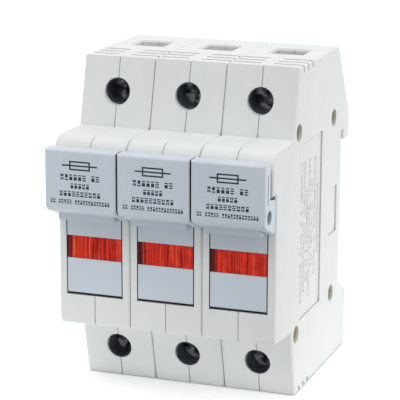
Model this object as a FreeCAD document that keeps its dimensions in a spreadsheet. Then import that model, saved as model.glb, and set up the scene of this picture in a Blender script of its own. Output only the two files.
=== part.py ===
"""Three-pole cartridge fuse holder for 10 x 38 mm fuse links, for a 35 mm top-hat rail.

Frame: millimetres, +X across the poles, +Y to the rear, +Z up. The origin is the centre of the face that
rests on the rail, so the front of the holder is at negative Y. Each pole is a pair of moulded half shells
that meet on the pole's centre plane. Between them are a swing-out fuse carrier with its fuse link and lamp,
two contact jaws, two rising-cage terminals and a sprung rail clip. Four tubular rivets hold all three poles.
"""
import FreeCAD, Part
import math
import os

import Sketcher
from FreeCAD import Placement, Rotation, Vector

OUT = "parts"
POLES = (1, 2, 3)
MIDDLE = 2
UPPER, LOWER = 1, -1
ENDS = ((UPPER, "upper"), (LOWER, "lower"))
OVER = 1       # how far a cutting tool starts outside the solid that it cuts
THROUGH = 12   # length of a cut that comes out on the other side
LENS_FLUTES = 16
COILS = 6

doc = FreeCAD.newDocument("FuseHolder")
sheet = doc.addObject("Spreadsheet::Sheet", "Sizes")

# Driving dimensions, in millimetres. Depths are distances in front of the rail face unless they say rear.
SIZES = (
    ("pole_pitch", 18.0, "width of one pole"),
    ("outer_round", 1.2, "rounding of the nose's and the foot's corners"),
    ("hook_round", 0.9, "rounding of the top's rear edge and of the hook"),
    ("hook_draft", 0.4, "slope of the hook's rear above its lower edge"),
    ("nose_fall", 0.8, "fall of the nose's underside towards the terminal face"),
    ("tip_wall", 1.0, "wall behind the tip of a terminal face"),
    ("foot_wall", 2.1, "wall behind the foot of a terminal face"),
    ("slope_wall", 2.5, "wall under the sloping rear of the top"),
    ("slope_end", 30.0, "height where the hollow's slope ends"),
    ("rear_wall", 2.0, "wall at the rail face"),
    ("clip_wall", 3.2, "rail face to the hollow, beside the rail clip"),
    ("upper_corner", 1.0, "rise of the hollow's corner over the nose"),
    ("lower_corner", 2.4, "fall of the hollow's corner under the nose"),
    ("half_height", 40.2, "rail centre to the top and bottom faces"),
    ("parting", 0.03, "clearance of a half shell at its parting plane and outer face"),
    ("side_wall", 1.85, "thickness of a half shell's side"),
    ("wall", 1.6, "thickness of the outer walls"),
    ("end_wall", 2.8, "thickness of the top and bottom walls"),
    ("edge_break", 0.35, "chamfer round the outer face"),
    ("seam_break", 0.18, "chamfer round the parting plane"),
    ("nose_front", 54.95, "depth of the front face"),
    ("nose_bottom", 22.4, "rail centre down to the underside of the nose"),
    ("nose_top", 23.85, "rail centre up to the top of the nose"),
    ("brow_front", 57.6, "depth of the brow over the carrier"),
    ("brow_under", 13.55, "height of the underside of the brow"),
    ("brow_radius", 4.5, "rounding of the brow"),
    ("face_foot", 42.0, "depth of a terminal face where it meets the nose"),
    ("face_tip", 37.8, "depth of a terminal face at the end of the body"),
    ("top_rear", 4.0, "depth of the rear edge of the top face"),
    ("hook_rear", 7.3, "rear of the fixed rail hook"),
    ("hook_shoulder", 21.7, "height of the hook's shoulder"),
    ("hook_bottom", 15.2, "height of the hook's lower edge"),
    ("rail_slot", 2.0, "rail face to the inside of the hook"),
    ("rail_half", 17.8, "rail centre to the top of the rail slot"),
    ("seat_half", 15.2, "half height of the face that rests on the rail"),
    ("seat_relief", 0.3, "step behind the rail face at its ends"),
    ("foot_rear", 6.6, "rear of the foot"),
    ("foot_top", 25.2, "rail centre down to the top of the foot's rear face"),
    ("recess_end", 21.15, "rail centre down to the end of the rail recess"),
    ("window_half", 7.15, "half width of the opening for the carrier"),
    ("window_bottom", 15.0, "rail centre down to the sill of that opening"),
    ("window_top", 20.9, "rail centre up to the head of that opening"),
    ("window_lip", 0.4, "thickening of the wall round that opening"),
    ("socket_start", 0.2, "overlap of a trunnion socket with that opening"),
    ("socket_wall", 0.6, "wall left behind a trunnion socket"),
    ("divider_gap", 2.6, "front of a jaw's base to the wall behind the fuse link"),
    ("divider", 1.4, "thickness of that wall"),
    ("divider_half", 19.4, "half height of that wall"),
    ("stay_inner", 6.4, "height of the nearer face of a stay behind that wall"),
    ("stay_outer", 7.6, "height of the farther face of a stay"),
    ("stay_rear", 1.5, "depth of a stay's rear end"),
    ("ledge_front", 19.0, "depth of the front of a contact strip's ledge"),
    ("ledge_rear", 17.6, "depth of the rear of that ledge"),
    ("ledge_inner", 14.0, "height of the inner end of that ledge"),
    ("ledge_gap", 0.2, "ledge to the contact strip"),
    ("web", 0.1, "overlap of an inner rib with the shell's side"),
    ("entry_half", 4.25, "half width of a wire entry"),
    ("entry_front", 20.5, "depth of the front edge of a wire entry"),
    ("entry_rear", 12.45, "depth of the rear edge of a wire entry"),
    ("entry_funnel", 0.3, "widening of a wire entry at its mouth"),
    ("funnel_depth", 0.5, "depth of that widening"),
    ("bush_wall", 0.25, "wall of a screw bush"),
    ("bush_front", 38.9, "depth of a screw bush's front end"),
    ("screw_height", 32.0, "rail centre to a terminal screw"),
    ("access_radius", 3.25, "screwdriver hole"),
    ("sleeve_half", 4.6, "half height of the sleeve round a screwdriver hole"),
    ("sleeve_skin", 0.9, "terminal face to the front of that sleeve"),
    ("head_play", 0.1, "play in front of a screw head"),
    ("field_depth", 0.35, "depth of the recesses in the side"),
    ("label_front", 35.55, "depth of the label field's front edge"),
    ("label_rear", 17.75, "depth of the label field's rear edge"),
    ("label_bottom", 21.95, "rail centre down to the label field's end"),
    ("label_top", 21.45, "rail centre up to the label field's end"),
    ("badge_front", 10.65, "depth of the small field's front edge"),
    ("badge_rear", 3.75, "depth of the small field's rear edge"),
    ("badge_bottom", 7.05, "rail centre down to the small field's end"),
    ("badge_top", 4.95, "rail centre up to the small field's end"),
    ("groove_first", 35.05, "depth of the first grip groove"),
    ("groove_pitch", 3.6, "grip groove spacing"),
    ("groove_width", 1.0, "grip groove width"),
    ("groove_depth", 1.5, "grip groove depth"),
    ("groove_start", 1.6, "grip groove start, from the pole centre"),
    ("rivet_front", 37.7, "depth of the front rivets"),
    ("rivet_front_height", 24.7, "height of the front rivets"),
    ("rivet_rear", 7.5, "depth of the rear rivets"),
    ("rivet_rear_height", 22.75, "height of the rear rivets"),
    ("boss_radius", 3.2, "rivet boss"),
    ("rivet_radius", 1.3, "rivet shank"),
    ("rivet_head", 2.0, "rivet head radius"),
    ("rivet_bore", 0.8, "hollow of the rivet"),
    ("rivet_edge", 0.55, "thickness of a rivet head"),
    ("sink_floor", 0.65, "rivet head's face to the floor of its recess"),
    ("rivet_sink", 0.85, "depth of a rivet head below the side"),
    ("sink_radius", 2.15, "recess round a rivet head"),
    ("pivot_depth", 53.3, "depth of the carrier pivot"),
    ("pivot_height", -12.5, "height of the carrier pivot"),
    ("pivot_radius", 0.95, "carrier trunnion"),
    ("running", 0.05, "radial clearance of a turning fit"),
    ("carrier_half", 6.9, "half width of the carrier"),
    ("carrier_bottom", 14.55, "rail centre down to the carrier's lower edge"),
    ("tab_half", 8.84, "half width of the pull tab"),
    ("tab_front", 63.15, "depth of the tab's upper front edge"),
    ("tab_top", 22.05, "height of the tab"),
    ("tab_back", 59.25, "depth of the tab's rear face above the boss"),
    ("tab_foot", 7.67, "height of the tab's lower front edge"),
    ("tab_chin", 1.7, "rounding of that edge"),
    ("tab_round", 0.55, "rounding of the tab's other front edges"),
    ("boss_front", 55.45, "depth of the boss's rear edge under the tab"),
    ("boss_low", 4.45, "height of the boss's lower edge"),
    ("boss_high", 12.75, "height of the boss's upper edge"),
    ("boss_top", 13.4, "height where the boss meets the tab"),
    ("finger_front", 61.2, "depth of the front of a tab's side groove"),
    ("finger_rear", 60.75, "depth of the rear of that groove"),
    ("finger_low", 12.6, "height of its lower end"),
    ("finger_high", 19.6, "height of its upper end"),
    ("finger_sink", 0.4, "its depth"),
    ("panel_back", 51.6, "depth of the rear of the carrier's front panel"),
    ("panel_join", 8.0, "rail centre down to the cradle's lower end, inside the panel"),
    ("panel_round", 0.6, "rounding of the panel's lower edge"),
    ("neck_back", 51.35, "depth of the rear of the neck behind the tab"),
    ("neck_low", 4.6, "height of the neck's lower end"),
    ("neck_high", 20.4, "height of the neck's upper end"),
    ("cradle_low", 8.5, "rail centre down to the cradle's lower end"),
    ("cradle_high", 7.0, "rail centre up to the cradle's upper end"),
    ("cradle_reach", 2.0, "fuse link's axis to the cradle's rear edge"),
    ("lip_half", 4.5, "half width of the lip over the fuse link"),
    ("lip_front", 52.0, "depth of the lip's front"),
    ("lip_back", 47.0, "depth of the lip's rear"),
    ("lip_low", 18.3, "height of the lip's underside"),
    ("lip_high", 19.6, "height of the lip's top"),
    ("cradle_open", 9.0, "rail centre down to the end of the cradle's hollow"),
    ("lens_bed", 0.35, "room behind the lens"),
    ("lens_fit", 0.04, "clearance above and below the lens"),
    ("lens_back", 49.5, "depth of the rear end of a lens leg"),
    ("flute", 0.3, "depth of the lens's inner flutes"),
    ("chamber_half", 5.4, "half width of the lamp chamber"),
    ("chamber_back", 51.8, "depth of the lamp chamber's rear"),
    ("chamber_edge", 0.5, "lens's edge to the lamp chamber"),
    ("board_half", 4.9, "half width of the lamp board"),
    ("board_front", 52.6, "depth of the lamp board's front"),
    ("board_back", 51.85, "depth of the lamp board's rear"),
    ("board_low", 5.2, "rail centre down to the board's lower edge"),
    ("board_high", 1.0, "rail centre down to the board's upper edge"),
    ("chip_place", 2.6, "pole centre to a lamp chip"),
    ("chip_half", 1.1, "half width of a lamp chip"),
    ("chip_front", 53.05, "depth of a lamp chip's front"),
    ("chip_low", 3.8, "rail centre down to a lamp chip's lower edge"),
    ("chip_high", 2.4, "rail centre down to a lamp chip's upper edge"),
    ("lead_half", 0.5, "half width of a lamp lead"),
    ("lead_front", 51.84, "depth of a lamp lead's front"),
    ("lead_gauge", 0.3, "thickness of a lamp lead"),
    ("toe_front", 51.6, "depth of the front of a lead's toe"),
    ("toe_back", 51.18, "depth of the tip of that toe, at the fuse link's cap"),
    ("toe_size", 1.0, "height of that toe"),
    ("lead_top", 14.0, "height of the upper lead's end"),
    ("lead_bottom", 12.6, "rail centre down to the lower lead's end"),
    ("lead_upper_start", 2.0, "rail centre down to the upper lead's start"),
    ("lead_lower_start", 4.2, "rail centre down to the lower lead's start"),
    ("lead_slot_half", 0.7, "half width of the slot for the leads"),
    ("lead_slot_front", 52.0, "depth of that slot's front"),
    ("lead_slot_back", 51.0, "depth of that slot's rear"),
    ("lead_slot_low", 13.2, "rail centre down to that slot's lower end"),
    ("lead_slot_high", 14.4, "rail centre up to that slot's upper end"),
    ("tie_depth", 59.75, "depth of the tie pin"),
    ("tie_height", 9.45, "height of the tie pin"),
    ("tie_radius", 1.6, "tie pin"),
    ("lens_bottom", -5.9, "height of the lens's lower edge"),
    ("lens_top", -0.35, "height of the lens's upper edge"),
    ("lens_plate", 1.5, "lens thickness"),
    ("lens_leg", 1.2, "thickness of the lens's side legs"),
    ("fuse_depth", 46.0, "depth of the fuse link's axis"),
    ("fuse_radius", 5.15, "fuse link cap"),
    ("fuse_bottom", -20.0, "height of the fuse link's lower end"),
    ("fuse_length", 38.0, "fuse link"),
    ("cap_length", 10.0, "fuse link cap length"),
    ("tube_radius", 4.75, "ceramic tube"),
    ("tube_wall", 1.6, "wall of the ceramic tube"),
    ("tube_end", 3.0, "fuse link's end to the hollow of its tube"),
    ("cap_wall", 0.4, "thickness of a cap"),
    ("cradle_radius", 5.3, "cradle of the carrier round the fuse link"),
    ("strip", 1.0, "thickness of a contact strip"),
    ("finger", 0.8, "thickness of a jaw finger"),
    ("finger_inner", 5.2, "inside of a jaw finger, from the pole centre"),
    ("jaw_back", 38.3, "depth of the front of the jaw's base"),
    ("jaw_mouth", 48.0, "depth of the jaw's mouth"),
    ("jaw_flare", 1.0, "length of the flare at that mouth"),
    ("jaw_spread", 0.5, "widening of that flare, each side"),
    ("upper_jaw_low", 9.5, "height of the upper jaw's lower edge"),
    ("upper_jaw_high", 17.5, "height of the upper jaw's upper edge"),
    ("lower_jaw_low", 18.0, "rail centre down to the lower jaw's lower edge"),
    ("lower_jaw_high", 10.5, "rail centre down to the lower jaw's upper edge"),
    ("riser_start", 12.0, "height of the inner end of a jaw's riser"),
    ("spring_gauge", 0.45, "thickness of a jaw spring"),
    ("spring_gap", 0.03, "jaw to its spring"),
    ("spring_mouth", 2.0, "jaw's mouth to the ends of its spring"),
    ("upper_spring_low", 11.2, "height of the upper jaw spring's lower edge"),
    ("upper_spring_high", 15.8, "height of the upper jaw spring's upper edge"),
    ("lower_spring_low", 16.4, "rail centre down to the lower jaw spring's lower edge"),
    ("lower_spring_high", 12.2, "rail centre down to the lower jaw spring's upper edge"),
    ("strip_run", 19.8, "height of the strip's rearward run"),
    ("strip_half", 3.7, "half width of a contact strip"),
    ("plate_depth", 22.0, "depth of the front of the terminal plate"),
    ("cage_half", 5.0, "half width of a clamp cage"),
    ("cage_wall", 1.1, "clamp cage wall"),
    ("cage_collar", 2.4, "thickness of the threaded collar"),
    ("plate_end", 0.4, "clamp cage's outer end to the terminal plate's end"),
    ("cage_front", 26.4, "depth of the front of a clamp cage, fully open"),
    ("cage_rear", 11.2, "depth of the rear of a clamp cage, fully open"),
    ("cage_inner", 27.6, "height of a clamp cage's inner end"),
    ("cage_outer", 36.6, "height of a clamp cage's outer end"),
    ("screw_top", 33.4, "depth of a screw head's face"),
    ("screw_head", 3.4, "screw head radius"),
    ("screw_head_depth", 1.9, "screw head thickness"),
    ("screw_radius", 2.45, "screw shank radius"),
    ("screw_gap", 0.1, "terminal plate to the screw's tip"),
    ("drive_width", 1.0, "width of the slot and of the cross bar in a screw head"),
    ("slot_depth", 1.3, "depth of that slot"),
    ("bar_depth", 1.6, "depth of that cross bar"),
    ("bar_half", 2.0, "half length of that cross bar"),
    ("clip_half", 4.0, "half width of the rail clip"),
    ("clip_front", 1.4, "rear distance of the clip's front face"),
    ("clip_rear", 4.0, "rear distance of the clip's rear face"),
    ("clip_top", 15.8, "rail centre down to the clip's catch"),
    ("clip_bottom", 39.6, "rail centre down to the clip's tail"),
    ("clip_travel", 3.0, "travel of the clip"),
    ("clip_wing", 1.5, "reach of the clip's wings beyond its plate"),
    ("wing_bottom", 36.0, "rail centre down to the lower end of the wings"),
    ("slack", 0.1, "clearance round the clip"),
    ("clip_catch", 3.4, "height of the clip's sloping catch"),
    ("catch_edge", 0.5, "thickness of that catch at its tip"),
    ("channel_step", 0.5, "end of the clip's channel above the rail recess's end"),
    ("wing_front", 0.6, "clip's front face to its wings"),
    ("wing_rear", 0.4, "clip's wings to its rear face"),
    ("wing_top", 28.0, "rail centre down to the upper end of the wings"),
    ("spring_top", 26.2, "rail centre down to the head of the clip's window"),
    ("spring_foot", 37.4, "rail centre down to the foot of that window"),
    ("spring_window", 1.7, "half width of that window"),
    ("eye_half", 2.0, "half width of the eye in the clip's tail"),
    ("eye_high", 38.1, "rail centre down to the eye's upper edge"),
    ("eye_low", 39.0, "rail centre down to the eye's lower edge"),
    ("peg_half", 1.3, "half width of the peg under the clip's spring"),
    ("peg_top", 33.4, "rail centre down to the peg's upper face"),
    ("peg_low", 34.4, "rail centre down to the peg's lower face"),
    ("peg_reach", 0.4, "reach of the peg beyond the clip's faces"),
    ("coil_wire", 0.22, "wire radius of the clip's spring"),
    ("coil_radius", 1.05, "mean radius of the clip's spring"),
    ("coil_gap", 0.02, "end of that spring to its seat"),
    ("pin_inset", 3.6, "tie pin's end to the side of the outer pole"),
    ("trunnion_root", 0.5, "overlap of a trunnion with the carrier"),
    ("trunnion_play", 0.8, "pole's side to a trunnion's end"),
    ("neck_join", 0.5, "overlap of the neck with the tab"),
)


class Dim:
    """A length that carries its spreadsheet expression beside its value."""

    def __init__(self, value, text):
        self.value = value
        self.text = text

    def _join(self, other, sign, result):
        return Dim(result, "(%s %s %s)" % (self.text, sign, other.text))

    def __add__(self, other):
        other = dim(other)
        return self._join(other, "+", self.value + other.value)

    def __sub__(self, other):
        other = dim(other)
        return self._join(other, "-", self.value - other.value)

    def __mul__(self, other):
        other = dim(other)
        return self._join(other, "*", self.value * other.value)

    def __truediv__(self, other):
        other = dim(other)
        return self._join(other, "/", self.value / other.value)

    def __radd__(self, other):
        return dim(other) + self

    def __rsub__(self, other):
        return dim(other) - self

    def __rmul__(self, other):
        return dim(other) * self

    def __neg__(self):
        return dim(-1) * self


def dim(number):
    """A plain number as a Dim."""
    return number if isinstance(number, Dim) else Dim(float(number), "(%r)" % float(number))


class Table:
    """The spreadsheet's cells, as Dims under their aliases."""

    def __init__(self, rows):
        for index, (name, value, meaning) in enumerate(rows, start=1):
            sheet.set("A%d" % index, name)
            sheet.set("B%d" % index, str(value))
            sheet.set("C%d" % index, meaning)
            sheet.setAlias("B%d" % index, name)
            setattr(self, name, Dim(value, "Sizes.%s" % name))


S = Table(SIZES)
doc.recompute()


# ---------------------------------------------------------------- helpers

def bind(obj, **dims):
    """Binds properties of obj to expressions; a double underscore stands for a dot."""
    for name, value in dims.items():
        obj.setExpression(name.replace("__", "."), dim(value).text)


def place(obj, x=0, y=0, z=0, rotation=None):
    """Puts obj at a bound position, turned by rotation."""
    x, y, z = dim(x), dim(y), dim(z)
    obj.Placement = Placement(Vector(x.value, y.value, z.value), rotation or Rotation())
    bind(obj, Placement__Base__x=x, Placement__Base__y=y, Placement__Base__z=z)


def span(a, b):
    """Two limits in rising order."""
    a, b = dim(a), dim(b)
    return (a, b) if a.value <= b.value else (b, a)


TO_X = Rotation(Vector(0, 1, 0), 90)
TO_Y = Rotation(Vector(1, 0, 0), -90)
TURNS = {"x": TO_X, "y": TO_Y, "z": Rotation()}


def size_box(obj, xs, ys, zs):
    """Sizes and places a box object from its limits along each axis."""
    (x0, x1), (y0, y1), (z0, z1) = span(*xs), span(*ys), span(*zs)
    bind(obj, Length=x1 - x0, Width=y1 - y0, Height=z1 - z0)
    place(obj, x0, y0, z0)
    return obj


def size_rod(obj, axis, limits, across, radius):
    """Sizes and places a cylinder along axis, from limits[0] to limits[1], at the point across."""
    low, high = span(*limits)
    bind(obj, Radius=radius, Height=high - low)
    u, v = across
    at = {"x": (low, u, v), "y": (u, low, v), "z": (u, v, low)}[axis]
    place(obj, *at, rotation=TURNS[axis])
    return obj


class Piece:
    """A PartDesign body of the middle pole."""

    def __init__(self, word):
        self.label = "pole%d_%s" % (MIDDLE, word)
        self.body = doc.addObject("PartDesign::Body", self.label)
        self.body.Label = self.label
        place(self.body)
        self.count = 0

    def name(self, word):
        self.count += 1
        return "%s_%s_%d" % (self.label, word, self.count)

    def add(self, kind, word):
        made = self.body.newObject("PartDesign::" + kind, self.name(word))
        made.Refine = False
        return made

    def sketch(self, plane, loops=(), offset=0, circles=()):
        """A sketch on an origin plane of closed straight loops and of circles (u, v, radius), all bound."""
        made = self.body.newObject("Sketcher::SketchObject", self.name("outline"))
        face = [f for f in self.body.Origin.OriginFeatures if f.Role == plane][0]
        made.AttachmentSupport = (face, "")
        made.MapMode = "FlatFace"
        offset = dim(offset)
        made.AttachmentOffset = Placement(Vector(0, 0, offset.value), Rotation())
        bind(made, AttachmentOffset__Base__z=offset)
        for loop in loops:
            corners = [(dim(u), dim(v)) for u, v in loop]
            first = made.GeometryCount
            total = len(corners)
            for i, (u, v) in enumerate(corners):
                nu, nv = corners[(i + 1) % total]
                start, end = Vector(u.value, v.value, 0), Vector(nu.value, nv.value, 0)
                made.addGeometry(Part.LineSegment(start, end), False)
            for i, (u, v) in enumerate(corners):
                nxt = first + (i + 1) % total
                made.addConstraint(Sketcher.Constraint("Coincident", first + i, 2, nxt, 1))
            for i, (u, v) in enumerate(corners):
                self.fix(made, first + i, 1, u, v)
        for u, v, radius in circles:
            u, v, radius = dim(u), dim(v), dim(radius)
            round_line = Part.Circle(Vector(u.value, v.value, 0), Vector(0, 0, 1), radius.value)
            ring = made.addGeometry(round_line, False)
            self.fix(made, ring, 3, u, v)
            at = made.addConstraint(Sketcher.Constraint("Radius", ring, radius.value))
            made.setExpression("Constraints[%d]" % at, radius.text)
        return made

    def fix(self, sketch, index, point, u, v):
        """Binds both coordinates of a sketch point."""
        for kind, value in (("DistanceX", u), ("DistanceY", v)):
            at = sketch.addConstraint(Sketcher.Constraint(kind, index, point, value.value))
            sketch.setExpression("Constraints[%d]" % at, value.text)

    def pad(self, sketch, length, backwards=False, midplane=False):
        made = self.add("Pad", "pad")
        made.Profile = sketch
        bind(made, Length=length)
        made.Reversed = backwards
        made.Midplane = midplane
        return made

    def pocket(self, sketch, length, backwards=False, midplane=False):
        made = self.add("Pocket", "pocket")
        made.Profile = sketch
        bind(made, Length=length)
        made.Reversed = backwards
        made.Midplane = midplane
        return made

    def box(self, kind, xs, ys, zs):
        return size_box(self.add(kind + "Box", "box"), xs, ys, zs)

    def rod(self, kind, axis, limits, across, radius):
        return size_rod(self.add(kind + "Cylinder", "rod"), axis, limits, across, radius)

    def funnel(self, side, end):
        """Widens the mouth of the wire entry at one end of a half shell."""
        made = self.add("SubtractiveWedge", "funnel")
        made.Placement = Placement(Vector(), Rotation(Vector(1, 0, 0), 90 * end))
        wide = span(-side, side * (S.entry_half + S.entry_funnel))
        neck = span(-side, side * S.entry_half)
        rear, front = end * S.entry_rear, end * S.entry_front
        slack = S.entry_funnel * end
        mouth = span(rear - slack, front + slack)
        throat = span(rear, front)
        bind(made, Ymin=S.half_height - S.funnel_depth, Ymax=S.half_height,
             Xmin=neck[0], Xmax=neck[1], X2min=wide[0], X2max=wide[1],
             Zmin=throat[0], Zmax=throat[1], Z2min=mouth[0], Z2max=mouth[1])

    def dress(self, kind, size, test):
        """Fillets or chamfers every edge of the present shape that passes test(centre, edge)."""
        doc.recompute()
        tip = self.body.Tip
        edges = ["Edge%d" % i for i, e in enumerate(tip.Shape.Edges, start=1) if test(e.CenterOfMass, e)]
        if not edges:
            raise RuntimeError("%s: no edge to dress" % self.label)
        made = self.add(kind, kind.lower())
        made.Base = (tip, edges)
        bind(made, **{"Radius" if kind == "Fillet" else "Size": size})
        return made


def along(edge, axis):
    """Whether a straight edge lies along an axis."""
    if edge.Curve.TypeId != "Part::GeomLine":
        return False
    d = edge.Curve.Direction
    return abs({"x": d.x, "y": d.y, "z": d.z}[axis]) > 0.999


def near(value, target, room=0.02):
    target = dim(target)
    return abs(value - target.value) < room


def loose_box(name, xs, ys, zs):
    return size_box(doc.addObject("Part::Box", name), xs, ys, zs)


def loose_rod(name, axis, limits, across, radius):
    return size_rod(doc.addObject("Part::Cylinder", name), axis, limits, across, radius)


def union(name, shapes):
    made = doc.addObject("Part::MultiFuse", name)
    made.Shapes = shapes
    return made


def minus(name, base, tool):
    made = doc.addObject("Part::Cut", name)
    made.Base = base
    made.Tool = tool
    return made


def group(name, shapes):
    """Separate solids in one sub-part."""
    made = doc.addObject("Part::Compound", name)
    made.Links = shapes
    return made


def to_pole(obj, label, pole):
    """Gives a finished sub-part its label and moves it to its pole."""
    obj.Label = label
    place(obj, x=S.pole_pitch * (pole - MIDDLE))
    return obj


def rectangle(us, vs):
    """The corners of a rectangle from its limits."""
    (u0, u1), (v0, v1) = span(*us), span(*vs)
    return [(u0, v0), (u1, v0), (u1, v1), (u0, v1)]


def copy_body(source, label, pole):
    """A linked copy of a body, at another pole."""
    body = doc.addObject("PartDesign::Body", label)
    base = doc.addObject("PartDesign::FeatureBase", label + "_base")
    base.BaseFeature = source
    body.Group = [base]
    body.Tip = base
    return to_pole(body, label, pole)


RIVETS = ((S.rivet_front, S.rivet_front_height), (S.rivet_rear, S.rivet_rear_height))


# ---------------------------------------------------------------- half shells

def body_outline():
    """The outer profile, seen from the side, as (y, z) corners."""
    return [
        (-S.face_tip, S.half_height),
        (-S.top_rear, S.half_height),
        (S.hook_rear - S.hook_draft, S.hook_shoulder),
        (S.hook_rear, S.hook_bottom),
        (S.rail_slot, S.hook_bottom),
        (S.rail_slot, S.rail_half),
        (-S.seat_relief, S.rail_half),
        (-S.seat_relief, S.seat_half),
        (0, S.seat_half),
        (0, -S.seat_half),
        (-S.seat_relief, -S.seat_half),
        (-S.seat_relief, -S.recess_end),
        (S.foot_rear, -S.foot_top),
        (S.foot_rear, -S.half_height),
        (-S.face_tip, -S.half_height),
        (-S.face_foot, -S.nose_bottom - S.nose_fall),
        (-S.nose_front, -S.nose_bottom),
        (-S.nose_front, S.brow_under),
        (-S.brow_front, S.brow_under),
        (-S.brow_front, S.nose_top),
        (-S.face_foot, S.nose_top),
    ]


def cavity_outline():
    """The hollow inside a half shell, as (y, z) corners."""
    inner_end = S.half_height - S.end_wall
    tip = -S.face_tip + S.tip_wall
    foot = -S.face_foot + S.foot_wall
    nose = -S.nose_front + S.wall
    brow = -S.brow_front + S.wall
    roof = S.nose_top - S.wall
    floor = -S.nose_bottom + S.wall
    return [
        (-S.top_rear - S.slope_wall, inner_end),
        (-S.rear_wall, S.slope_end),
        (-S.rear_wall, -S.recess_end),
        (-S.clip_wall, -S.foot_top),
        (-S.clip_wall, -inner_end),
        (tip, -inner_end),
        (foot, -S.nose_bottom - S.lower_corner),
        (foot, floor),
        (nose, floor),
        (nose, S.brow_under + S.wall),
        (brow, S.brow_under + S.wall),
        (brow, S.window_top),
        (brow + S.wall, roof),
        (foot, roof),
        (foot, S.nose_top + S.upper_corner),
        (tip, inner_end),
    ]


def face_depth(height):
    """Depth of a terminal face at a height above the rail centre."""
    slope = (S.face_foot - S.face_tip) / (S.half_height - S.nose_top)
    return S.face_tip + (S.half_height - height) * slope


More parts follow.
